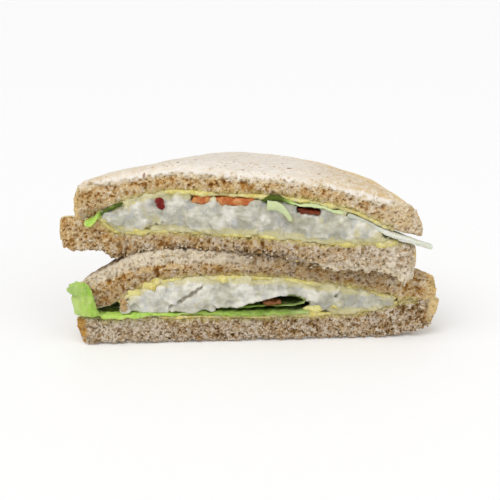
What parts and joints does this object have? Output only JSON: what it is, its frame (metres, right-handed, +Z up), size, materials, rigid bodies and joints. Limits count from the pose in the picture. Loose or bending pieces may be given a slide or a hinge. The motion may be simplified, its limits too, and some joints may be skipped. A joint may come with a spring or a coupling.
{
  "type": "cut sandwich",
  "caption": "Wholemeal sandwich cut corner to corner, its triangular halves stacked, with creamy chicken filling, lettuce and tomato showing at the cut; food to set on a surface",
  "frame": {"origin": "centre of the bounding box in plan, on the surface that the sandwich lies on", "axes": "+X along the cut faces to the right, the longest extent; +Y from the cut faces to the crust corner at the back; +Z up"},
  "size_m": [0.1554, 0.0836, 0.0733],
  "materials": {
    "bread": "matte porous wholemeal crumb, pale pressed faces and a golden crust",
    "spread": "soft yellow spread, slightly moist",
    "chicken_mayo": "lumpy creamy mayonnaise with chicken, moist",
    "lettuce": "thin crisp green leaf",
    "lettuce_rib": "pale watery leaf rib",
    "tomato": "wet orange-red tomato flesh",
    "red_pepper": "wet dark red pepper skin"
  },
  "bodies": {
    "root": {"lower_bottom_bread": "bread", "lower_bottom_spread": "spread", "lower_lettuce": "lettuce", "lower_lettuce_fold": "lettuce", "lower_tomato": "tomato", "lower_chicken_mayo": "chicken_mayo", "lower_top_spread": "spread", "lower_top_bread": "bread", "upper_bottom_bread": "bread", "upper_bottom_spread": "spread", "upper_chicken_mayo": "chicken_mayo", "upper_red_pepper": "red_pepper", "upper_tomato_1": "tomato", "upper_tomato_2": "tomato", "upper_tomato_3": "tomato", "upper_lettuce_left": "lettuce", "upper_lettuce_right": "lettuce", "upper_lettuce_rib": "lettuce_rib", "upper_lettuce_curl": "lettuce", "upper_top_spread": "spread", "upper_top_bread": "bread"}
  },
  "joints": []
}
